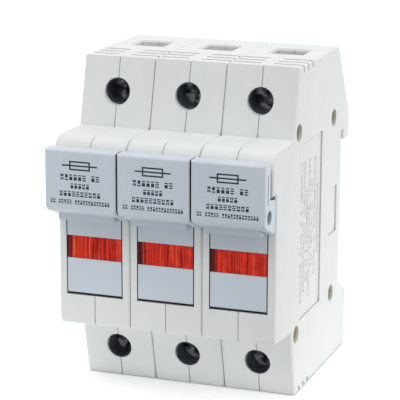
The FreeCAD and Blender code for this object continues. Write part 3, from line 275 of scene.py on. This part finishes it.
def solder_mask(name):
    """Green circuit board lacquer over a faint weave."""
    thick, thin = (0.02, 0.12, 0.05), (0.04, 0.19, 0.08)
    look = Look(name, Coat_Weight=0.3)
    weave = look.noise(0.5 * MM, detail=1.0, stretch=(4, 1, 1))
    look.colour(look.ramp(weave, ((0.3, thick), (0.7, thin))))
    look.roughness(weave, 0.3, 0.42)
    return look.material


# coating, part-worn and bare steel of the screws, the bare steel partly wear and partly a painted highlight,
# then the bushes' darker coating
SCREW_WEAR_AND_HIGHLIGHT = ((0.38, (0.06, 0.075, 0.085)), (0.48, (0.24, 0.28, 0.3)), (0.56, (0.72, 0.76, 0.78)))
BUSH_WEAR = ((0.38, (0.03, 0.04, 0.046)), (0.55, (0.075, 0.09, 0.10)), (0.7, (0.14, 0.16, 0.175)))

HOUSING = moulded("housing_plastic", (0.80, 0.825, 0.815), rough=0.48, grain=0.3 * MM, edge=0.22 * MM)
CARRIER = moulded("carrier_plastic", (0.63, 0.695, 0.77), rough=0.34, grain=0.5 * MM, edge=0.16 * MM)
CLIP = moulded("clip_plastic", (0.62, 0.65, 0.66), rough=0.42, grain=0.4 * MM, edge=0.16 * MM)
LENS = red_lens("lens_red", dark=(0.36, 0.014, 0.012), colour=(0.98, 0.055, 0.028), bright=(1.0, 0.24, 0.08))
# a darkened copy of the lens red: painted shade on the lens's left end
LENS_SHADED_END = red_lens("lens_red_end", dark=(0.07, 0.004, 0.006), colour=(0.16, 0.008, 0.01),
                    bright=(0.26, 0.012, 0.012))
SCREW = blackened("black_steel", metallic=0.25, stops=SCREW_WEAR_AND_HIGHLIGHT, size=2.0 * MM, dents=0.12 * MM)
BUSH = blackened("bush_black", metallic=0.2, stops=BUSH_WEAR, size=0.7 * MM, dents=0.05 * MM,
                 stretch=(1, 1, 8))
BRASS = metal("rivet_brass", (0.98, 0.70, 0.14), rough=0.26, stain=0.6, gap_shade=0.15)
# dark brass for the rivet bores, partly tarnish and partly painted shade
BORE_SHADE = metal("rivet_bore", (0.06, 0.045, 0.022), rough=0.5, stain=0.6)
NICKEL = metal("nickel_plate", (0.80, 0.79, 0.75), rough=0.2, brushed=(12, 12, 1))
SILVER = metal("silvered_copper", (0.83, 0.79, 0.73), rough=0.28, brushed=(1, 12, 12), stain=0.7)
ZINC = metal("zinc_plate", (0.68, 0.70, 0.71), rough=0.3, brushed=(1, 8, 1))
SPRING = metal("spring_steel", (0.42, 0.43, 0.45), rough=0.32, brushed=(1, 10, 10))
BRONZE = metal("spring_bronze", (0.70, 0.43, 0.22), rough=0.3, brushed=(1, 1, 10))
CERAMIC = fired_ceramic("ceramic")
INK = ink("print_ink", (0.018, 0.022, 0.03))
BOARD = solder_mask("circuit_board")
CHIP = red_lens("lamp_epoxy", dark=(0.6, 0.1, 0.06), colour=(0.9, 0.25, 0.15), bright=(0.95, 0.4, 0.25))

# node name endings and their materials
FINISHES = (
    ("_shell", HOUSING), ("_carrier", CARRIER), ("_rail_clip", CLIP), ("_lens", LENS), ("_screw", SCREW),
    ("_bushes", BUSH), ("_clamp", ZINC), ("_upper_jaw", SILVER), ("_lower_jaw", SILVER),
    ("_jaw_springs", SPRING), ("_clip_spring", SPRING), ("_indicator_board", BOARD),
    ("_indicator_chips", CHIP), ("_indicator_leads", BRONZE), ("_fuse_tube", CERAMIC),
    ("_fuse_caps", NICKEL), ("rivets", BRASS), ("tie_pin", ZINC),
)


def finish_nodes():
    """Gives every CAD node its material."""
    for name, node in NODES.items():
        finish = [look for ending, look in FINISHES if name.endswith(ending)][0]
        node.data.materials.clear()
        node.data.materials.append(finish)


# ---------------------------------------------------------------- mesh building

# a length too small to see, in whichever unit the caller draws in
HAIR = 1e-6


def new_object(name, bm, *looks, smooth_angle=35):
    """An object from a bmesh, smooth apart from edges sharper than smooth_angle degrees."""
    bmesh.ops.recalc_face_normals(bm, faces=bm.faces)
    mesh = bpy.data.meshes.new(name)
    for face in bm.faces:
        face.smooth = True
    for edge in bm.edges:
        if len(edge.link_faces) == 2 and edge.calc_face_angle() > math.radians(smooth_angle):
            edge.smooth = False
    bm.to_mesh(mesh)
    bm.free()
    for look in looks:
        mesh.materials.append(look)
    made = bpy.data.objects.new(name, mesh)
    bpy.context.scene.collection.objects.link(made)
    return made


def band(bm, first, second):
    """The faces that join two closed rings of as many points."""
    faces = []
    for i in range(len(first)):
        j = (i + 1) % len(first)
        faces.append(bm.faces.new((first[i], first[j], second[j], second[i])))
    return faces


def lathe(bm, profile, origin, axis):
    """Turns a closed profile of (radius, distance along axis) points about a line through origin."""
    segments = 48
    axis = Vector(axis).normalized()
    side = axis.orthogonal().normalized()
    other = axis.cross(side)
    rings = []
    for index in range(segments):
        angle = 2 * math.pi * index / segments
        out = side * math.cos(angle) + other * math.sin(angle)
        rings.append([bm.verts.new(Vector(origin) + out * r + axis * t) for r, t in profile])
    for index, ring in enumerate(rings):
        band(bm, ring, rings[(index + 1) % segments])


def arc(centre, radius, start, end, steps=6):
    """Points (u, v) of an arc, angles in degrees."""
    points = []
    for index in range(steps + 1):
        angle = math.radians(start + (end - start) * index / steps)
        points.append((centre[0] + radius * math.cos(angle), centre[1] + radius * math.sin(angle)))
    return points


def rounded(width, height, radius):
    """A rounded rectangle about the origin, as (u, v) points."""
    steps = 3
    radius = min(radius, width / 2 - HAIR, height / 2 - HAIR)
    u, v = width / 2 - radius, height / 2 - radius
    return (arc((u, v), radius, 0, 90, steps) + arc((-u, v), radius, 90, 180, steps)
            + arc((-u, -v), radius, 180, 270, steps) + arc((u, -v), radius, 270, 360, steps))


def slab(bm, outline, to_space, low, high):
    """A thin slab over an outline: to_space(u, v, height) places a point."""
    base = [bm.verts.new(to_space(u, v, low)) for u, v in outline]
    top = [bm.verts.new(to_space(u, v, high)) for u, v in outline]
    bm.faces.new(top)
    bm.faces.new(list(reversed(base)))
    band(bm, base, top)


# ---------------------------------------------------------------- lens

def make_lens(pole):
    """Fluted red window: the flutes stand between the two plain legs; the left leg's sides take a darkened
    copy of the red, painted shade.
    """
    node = "pole%d_lens" % pole
    low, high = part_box(node)
    centre = (low.x + high.x) / 2
    half = (high.x - low.x) / 2
    leg, plate, corner = 1.2 * MM, 1.45 * MM, 0.08 * MM
    flutes, valley, crest = 34, 0.16 * MM, 0.015 * MM
    inner = half - leg
    pitch = inner * 2 / flutes
    front = [(-half, low.y + corner), (-half + corner, low.y), (-inner, low.y)]
    for index in range(flutes):
        front.append((-inner + pitch * (index + 0.5), low.y + valley))
        front.append((-inner + pitch * (index + 1), low.y + crest))
    front += [(half - corner, low.y), (half, low.y + corner)]
    rear = [(half, high.y), (inner, high.y), (inner, low.y + plate), (-inner, low.y + plate),
            (-inner, high.y), (-half, high.y)]
    outline = front + rear
    bm = bmesh.new()
    top = [bm.verts.new((centre + x, y, high.z)) for x, y in outline]
    bottom = [bm.verts.new((centre + x, y, low.z)) for x, y in outline]
    caps = [bm.faces.new(top), bm.faces.new(list(reversed(bottom)))]
    for i, face in enumerate(band(bm, top, bottom)):
        middle = (outline[i][0] + outline[(i + 1) % len(outline)][0]) / 2
        # painted shade: the left leg's faces take the dark copy
        if middle < -inner - HAIR:
            face.material_index = 1
    bmesh.ops.triangulate(bm, faces=caps)
    piece = new_object("lens_%d" % pole, bm, LENS, LENS_SHADED_END, smooth_angle=20)
    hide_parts(node)
    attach(piece, "carrier_%d" % pole)


# ---------------------------------------------------------------- fuse link

def make_caps(pole):
    """Both caps of the fuse link, drawn cups with a rounded end and a crimped rim."""
    node = "pole%d_fuse_caps" % pole
    low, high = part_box(node)
    radius = (high.x - low.x) / 2
    wall, length, corner, lip, pinhole = 0.4 * MM, 10 * MM, 0.7 * MM, 0.15 * MM, 0.0005 * MM
    inner = radius - wall
    centre = Vector(((low.x + high.x) / 2, (low.y + high.y) / 2, 0))
    groove = 0.12 * MM
    outer = [(pinhole, 0), (radius * 0.45, 0.0), (radius * 0.5, groove), (radius * 0.62, groove),
             (radius * 0.66, 0.0)]
    outer += arc((radius - corner, corner), corner, -90, 0)
    crimp, waist = length - 2.2 * MM, radius - 0.14 * MM
    outer += [(radius, crimp), (waist, crimp + 0.35 * MM), (waist, crimp + 0.6 * MM),
              (radius, crimp + 0.95 * MM), (radius, length - lip), (radius - lip, length)]
    profile = outer + [(inner, length), (inner, wall), (pinhole, wall)]
    bm = bmesh.new()
    for end, direction in ((low.z, 1), (high.z, -1)):
        lathe(bm, profile, centre + Vector((0, 0, end)), (0, 0, direction))
    piece = new_object("fuse_caps_%d" % pole, bm, NICKEL)
    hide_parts(node)
    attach(piece, "carrier_%d" % pole)


def make_fuse_print(pole):
    """Rows of plain dashes printed on the front of the ceramic tube."""
    low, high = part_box("pole%d_fuse_tube" % pole)
    radius = (high.x - low.x) / 2
    centre = Vector(((low.x + high.x) / 2, (low.y + high.y) / 2, (low.z + high.z) / 2))
    rows, reach, gap = (5.0, 3.2, 1.4, -1.4, -3.2), 4.2 * MM, 0.4 * MM
    dash_height, dash_corner, root, rise = 0.55 * MM, 0.15 * MM, 0.004 * MM, 0.02 * MM

    def wrap(u, v, height):
        angle = u / radius
        out = Vector((math.sin(angle), -math.cos(angle), 0)) * (radius + height)
        return centre + out + Vector((0, 0, v))

    rng = random.Random(40 + pole)
    bm = bmesh.new()
    for row in rows:
        at = -reach
        while at < reach:
            width = rng.uniform(0.5, 1.5) * MM
            dash = rounded(width, dash_height, dash_corner)
            shape = [(at + width / 2 + u, row * MM + v) for u, v in dash]
            base = [bm.verts.new(wrap(u, v, root)) for u, v in shape]
            top = [bm.verts.new(wrap(u, v, rise)) for u, v in shape]
            bm.faces.new(top)
            band(bm, base, top)
            at += width + gap
    piece = new_object("fuse_print_%d" % pole, bm, INK)
    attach(piece, "carrier_%d" % pole)


# ---------------------------------------------------------------- clip springs

def make_clip_spring(pole):
    """Compression spring with closed end coils."""
    node = "pole%d_clip_spring" % pole
    low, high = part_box(node)
    wire, turns, closed, steps, sides = 0.22 * MM, 6.5, 1.0, 28, 10
    centre = (low + high) / 2
    coil = (high.x - low.x) / 2 - wire
    length = high.z - low.z
    rise = 2.04 * wire
    pitch = (length - 2 * wire - 2 * closed * rise) / (turns - 2 * closed)
    bm = bmesh.new()
    rings = []
    for index in range(int(turns * steps) + 1):
        turn = index / steps
        first, last = min(turn, closed), max(turn - (turns - closed), 0)
        level = low.z + wire + (first + last) * rise + (turn - first - last) * pitch
        out = Vector((math.cos(2 * math.pi * turn), math.sin(2 * math.pi * turn), 0))
        ring = []
        for side in range(sides):
            angle = 2 * math.pi * side / sides
            reach = out * (coil + wire * math.cos(angle))
            spot = (centre.x + reach.x, centre.y + reach.y, level + wire * math.sin(angle))
            ring.append(bm.verts.new(spot))
        rings.append(ring)
    for ring, following in zip(rings, rings[1:]):
        band(bm, ring, following)
    bm.faces.new(rings[0])
    bm.faces.new(list(reversed(rings[-1])))
    piece = new_object("clip_coil_%d" % pole, bm, SPRING)
    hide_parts(node)
    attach(piece, "housing")
    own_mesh(piece)


# ---------------------------------------------------------------- rivets

def make_rivets():
    """Tubular rivets with rolled heads, in the CAD rivets' places; the faces in and around the bore take a
    dark brass that is partly tarnish and partly painted shade.
    """
    low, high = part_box("rivets")
    head, shank, bore, head_depth = 2.0 * MM, 1.3 * MM, 0.8 * MM, 0.55 * MM
    roll, flare, dish_width, dish_depth = 0.27 * MM, 0.35 * MM, 0.25 * MM, 0.06 * MM
    dark_reach = bore + 0.2 * MM
    rear_drop = 1.95 * MM
    end = high.x
    front_z, rear_z = high.z - head, high.z - head - rear_drop
    bead = arc((head - roll, end - roll), roll, -60, 90, 8)
    mouth = arc((bore + flare, end - flare), flare, 90, 180, 5)
    right = [(shank, end - head_depth)] + bead + [(head - roll - dish_width, end - dish_depth)] + mouth
    left = [(r, -t) for r, t in reversed(right)]
    middle = (low.y + high.y) / 2
    bm = bmesh.new()
    for y, z in ((low.y + head, front_z), (high.y - head, rear_z)):
        for sign in (1, -1):
            lathe(bm, right + left, (0, y, z * sign), (1, 0, 0))
    for face in bm.faces:
        centre = face.calc_center_median()
        hub = (low.y + head, front_z) if centre.y < middle else (high.y - head, rear_z)
        reach = math.hypot(centre.y - hub[0], abs(centre.z) - hub[1])
        # painted shade: faces near the bore get the dark brass
        if reach < dark_reach:
            face.material_index = 1
    piece = new_object("rolled_rivets", bm, BRASS, BORE_SHADE)
    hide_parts("rivets")
    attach(piece, "housing")


# ---------------------------------------------------------------- printed and raised marks

# rows of the tab's print, in millimetres: height below the tab's top, total width, a mark's height and width
TAB_ROWS = ((6.3, 10.7, 1.35, 0.85), (8.3, 5.4, 1.2, 0.75), (10.2, 10.7, 1.2, 0.8), (12.1, 14.9, 1.0, 0.52))

# columns of the side's raised marks, in millimetres: place along Y, length, a mark's height
SIDE_COLUMNS = ((-33.4, 36, 1.5), (-31.1, 33, 1.2), (-28.9, 24, 1.2), (-26.8, 35, 1.5), (-24.6, 22, 1.2),
                (-22.2, 30, 1.7), (-19.9, 18, 1.2))

# the bars of each kind of mark, as (left, right, bottom, top) shares of its cell; they stand for no letter
MARKS = (
    ((0.05, 0.95, 0, 0.62), (0.05, 0.95, 0.8, 1)),
    ((0, 1, 0, 0.22), (0, 1, 0.4, 0.62), (0, 1, 0.8, 1)),
    ((0.05, 0.42, 0, 0.44), (0.58, 0.95, 0, 0.44), (0.05, 0.95, 0.62, 1)),
    ((0, 1, 0, 0.22), (0.1, 0.9, 0.42, 1)),
    ((0.05, 0.42, 0.56, 1), (0.58, 0.95, 0.56, 1), (0.05, 0.95, 0, 0.38)),
)

# a mark's foot below its surface and its height above, and the share of cells left empty
MARK_ROOT, MARK_RISE = -0.01, 0.012
EMPTY_SHARE = 0.1


def mark_row(bm, place, width, cell_height, cell_width, rng):
    """A centred row of small marks made of bars, one cell each, some cells left empty."""
    cell_gap = 0.3 * cell_width
    count = int((width + cell_gap) / (cell_width + cell_gap))
    start = -(count * (cell_width + cell_gap) - cell_gap) / 2
    for index in range(count):
        if 0 < index < count - 1 and rng.random() < EMPTY_SHARE:
            continue
        left = start + index * (cell_width + cell_gap)
        for u0, u1, v0, v1 in rng.choice(MARKS):
            middle = (left + (u0 + u1) / 2 * cell_width, ((v0 + v1) / 2 - 0.5) * cell_height)
            size = ((u1 - u0) * cell_width, (v1 - v0) * cell_height)
            outline = [(u * MM, v * MM) for u, v in rounded(*size, 0.04)]

            def local(u, v, rise, middle=middle):
                return place(u + middle[0] * MM, v + middle[1] * MM, rise)

            slab(bm, outline, local, MARK_ROOT * MM, MARK_RISE * MM)


def make_tab_print(pole):
    """The pull tab's print: a fuse symbol over four rows of marks."""
    low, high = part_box("pole%d_carrier" % pole)
    centre = (low.x + high.x) / 2
    rng = random.Random(7)
    bm = bmesh.new()

    def on_face(height):
        return lambda u, v, rise: Vector((centre + u, low.y - rise, high.z - height * MM + v))

    for below, width, height, cell in TAB_ROWS:
        mark_row(bm, on_face(below), width, height, cell, rng)
    line, box_width, box_height, reach, corner = 0.36, 5.2, 2.2, 8.8, 0.08
    symbol_below, rise_step = 3.5, 0.0015
    bars = [(0, 0, reach, line), (0, (box_height - line) / 2, box_width, line),
            (0, -(box_height - line) / 2, box_width, line)]
    bars += [(side * (box_width - line) / 2, 0, line, box_height) for side in (-1, 1)]
    spot = on_face(symbol_below)
    for index, (u0, v0, width, height) in enumerate(bars):
        outline = [(u * MM, v * MM) for u, v in rounded(width, height, corner)]
        rise = (MARK_RISE + rise_step * index) * MM

        def shifted(u, v, level, u0=u0, v0=v0):
            return spot(u + u0 * MM, v + v0 * MM, level)

        slab(bm, outline, shifted, MARK_ROOT * MM, rise)
    piece = new_object("tab_print_%d" % pole, bm, INK)
    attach(piece, "carrier_%d" % pole)


def make_side_marks():
    """Low raised marks in the recessed field on both outer sides."""
    sunk, raised = 0.35 * MM, 3
    for side, node in ((1, "pole3_right_shell"), (-1, "pole1_left_shell")):
        low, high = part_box(node)
        plane = (high.x if side > 0 else low.x) - side * sunk
        rng = random.Random(11)
        bm = bmesh.new()
        for column, length, height in SIDE_COLUMNS:
            shift = rng.uniform(-2.5, 1.5) * MM

            def on_side(u, v, rise, column=column, shift=shift):
                return Vector((plane + side * rise * raised, column * MM - side * v, shift + u))

            mark_row(bm, on_side, length, height, 0.75 * height, rng)
        piece = new_object("raised_marks_%s" % ("right" if side > 0 else "left"), bm, HOUSING)
        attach(piece, "housing")


# ---------------------------------------------------------------- floor, light and camera

def add_floor():
    """A wide sheet of white paper, with a painted glow behind the holder and painted shade in front of it.
    """
    reach, gap_below = 1.6, 0.05 * MM
    front_way, fade_from, fade_to = (0.65, -0.75, 0), 0.04, 0.1
    front_shade, glow_behind = (0.42, 0.42, 0.42), 0.25
    paper_dark, paper_light = (0.90, 0.90, 0.90), (0.93, 0.93, 0.93)
    bm = bmesh.new()
    level = cad_low.z - gap_below
    places = ((-reach, -reach), (reach, -reach), (reach, reach), (-reach, reach))
    bm.faces.new([bm.verts.new((x, y, level)) for x, y in places])
    look = Look("floor_paper", roughness=0.85, Emission_Color=(1, 1, 1, 1))
    forward = look.node("ShaderNodeVectorMath", operation="DOT_PRODUCT")
    forward.inputs[1].default_value = front_way
    look.link(look.place, forward.inputs[0])
    fade = look.node("ShaderNodeMapRange", interpolation_type="SMOOTHSTEP")
    fade.inputs["From Min"].default_value = fade_from
    fade.inputs["From Max"].default_value = fade_to
    fade.inputs["To Min"].default_value = 1
    fade.inputs["To Max"].default_value = 0
    look.link(forward.outputs["Value"], fade.inputs["Value"])
    behind = fade.outputs["Result"]
    # painted light: the paper glows behind the holder
    look.link(look.spread(behind, 0.0, glow_behind), look.shader.inputs["Emission Strength"])
    grain = look.ramp(look.noise(1.5 * MM, detail=3.0), ((0.3, paper_dark), (0.7, paper_light)))
    # painted shade: the paper in front of the holder is darkened
    look.colour(look.multiply(grain, look.ramp(behind, ((0, front_shade), (1, WHITE)))))
    floor = new_object("floor", bm, look.material)


def add_light(name, spot, target, size, power):
    """A square area light at spot that looks at target."""
    data = bpy.data.lights.new(name, "AREA")
    data.size = size
    data.energy = power
    made = bpy.data.objects.new(name, data)
    made.location = spot
    made.rotation_euler = (Vector(target) - Vector(spot)).to_track_quat("-Z", "Y").to_euler()
    bpy.context.scene.collection.objects.link(made)


def add_world(bright_side, dim, bright):
    """White surroundings, bright towards bright_side and dim on the other side."""
    dim_until, bright_from = -0.75, 0.35
    world = bpy.data.worlds.new("studio")
    world.use_nodes = True
    tree = world.node_tree
    direction = tree.nodes.new("ShaderNodeTexCoord").outputs["Generated"]
    facing = tree.nodes.new("ShaderNodeVectorMath")
    facing.operation = "DOT_PRODUCT"
    facing.inputs[1].default_value = Vector(bright_side).normalized()
    level = tree.nodes.new("ShaderNodeMapRange")
    level.interpolation_type = "SMOOTHSTEP"
    level.inputs["From Min"].default_value = dim_until
    level.inputs["From Max"].default_value = bright_from
    level.inputs["To Min"].default_value = dim
    level.inputs["To Max"].default_value = bright
    tree.links.new(direction, facing.inputs[0])
    tree.links.new(facing.outputs["Value"], level.inputs["Value"])
    tree.links.new(level.outputs["Result"], tree.nodes["Background"].inputs["Strength"])
    tree.nodes["Background"].inputs["Color"].default_value = (1, 1, 1, 1)
    bpy.context.scene.world = world
    bpy.context.scene.view_settings.view_transform = "Standard"


def add_camera(spot, azimuth, elevation, roll, lens):
    """A long lens, to the right of the front and a little above; the angles are in degrees."""
    azimuth, elevation, roll = (math.radians(a) for a in (azimuth, elevation, roll))
    back = Vector((math.sin(azimuth) * math.cos(elevation), -math.cos(azimuth) * math.cos(elevation),
                   math.sin(elevation)))
    level = Vector((math.cos(azimuth), math.sin(azimuth), 0))
    upright = back.cross(level)
    right = level * math.cos(roll) + upright * math.sin(roll)
    up = upright * math.cos(roll) - level * math.sin(roll)
    data = bpy.data.cameras.new("camera")
    data.lens = lens
    data.sensor_width = 36
    data.clip_start = 0.01
    camera = bpy.data.objects.new("camera", data)
    pose = Matrix((right, up, back)).transposed().to_4x4()
    pose.translation = spot
    camera.matrix_world = pose
    bpy.context.scene.collection.objects.link(camera)
    bpy.context.scene.camera = camera


finish_nodes()
for pole in POLES:
    make_lens(pole)
    make_caps(pole)
    make_fuse_print(pole)
    make_tab_print(pole)
    make_clip_spring(pole)
make_rivets()
make_side_marks()
add_floor()
add_world(bright_side=(0.4, 0.75, 0.6), dim=0.32, bright=1.0)
add_light("key", spot=(0.95, -0.25, 0.75), target=(0, -0.02, 0), size=0.5, power=1.6)
add_light("front", spot=(-0.15, -0.8, 0.95), target=(0, -0.03, 0.01), size=0.4, power=2.6)
add_camera(spot=(0.14675, -0.44207, 0.11242), azimuth=19.649, elevation=13.864, roll=0.224, lens=165.49)
